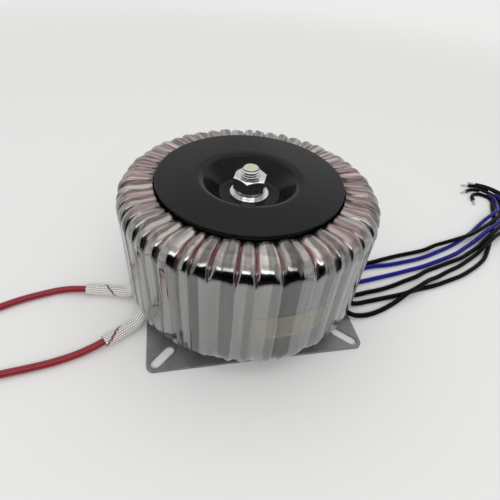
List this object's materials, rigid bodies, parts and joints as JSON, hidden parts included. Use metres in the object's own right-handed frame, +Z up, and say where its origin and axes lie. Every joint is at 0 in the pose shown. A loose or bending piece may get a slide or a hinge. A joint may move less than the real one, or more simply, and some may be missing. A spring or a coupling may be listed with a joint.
{
  "type": "toroidal transformer",
  "caption": "Film-wrapped toroidal transformer clamped by a black dish and one bolt to a square slotted steel plate, with free flying leads.",
  "frame": {"origin": "centre of the square plate's underside, on the axis of the ring and the bolt", "axes": "+Z up along the bolt; the plate's corners and its fixing slots lie on the X and Y axes; the red leads leave towards -X-Y and the thin leads towards +X+Y"},
  "size_m": [0.2609, 0.4705, 0.0888],
  "materials": {
    "plate_zinc": "galvanised, satin",
    "rubber": "matte",
    "bright_zinc": "bright zinc plating",
    "spring_steel": "zinc plating",
    "core_steel": "strip edges",
    "wrap": "pressboard and polyester tape",
    "copper_turns": "enamelled copper wire",
    "film": "clear film, glossy",
    "tape": "yellowed clear tape",
    "black_paint": "satin black",
    "glass_sleeving": "braided glass fibre",
    "red_insulation": "gloss",
    "black_insulation": "gloss",
    "blue_insulation": "gloss",
    "tinned_copper": "tinned strands"
  },
  "bodies": {
    "root": {"base_plate": "plate_zinc", "lower_rubber_pad": "rubber", "centre_bolt": "bright_zinc", "steel_core": "core_steel", "core_wrap": "wrap", "primary_winding": "copper_turns", "interlayer_insulation": "wrap", "secondary_winding": "copper_turns", "outer_film": "film", "tape_patch": "tape", "upper_rubber_pad": "rubber", "clamping_dish": "black_paint", "flat_washer": "bright_zinc", "spring_washer": "spring_steel", "hex_nut": "bright_zinc", "sleeve_1": "glass_sleeving", "sleeve_2": "glass_sleeving", "red_lead_1": "red_insulation", "red_lead_2": "red_insulation", "black_lead_1": "black_insulation", "black_lead_2": "black_insulation", "black_lead_3": "black_insulation", "black_lead_4": "black_insulation", "blue_lead_1": "blue_insulation", "blue_lead_2": "blue_insulation", "red_lead_1_end": "tinned_copper", "red_lead_2_end": "tinned_copper", "black_lead_1_end": "tinned_copper", "black_lead_2_end": "tinned_copper", "black_lead_3_end": "tinned_copper", "black_lead_4_end": "tinned_copper", "blue_lead_1_end": "tinned_copper", "blue_lead_2_end": "tinned_copper"}
  },
  "joints": []
}
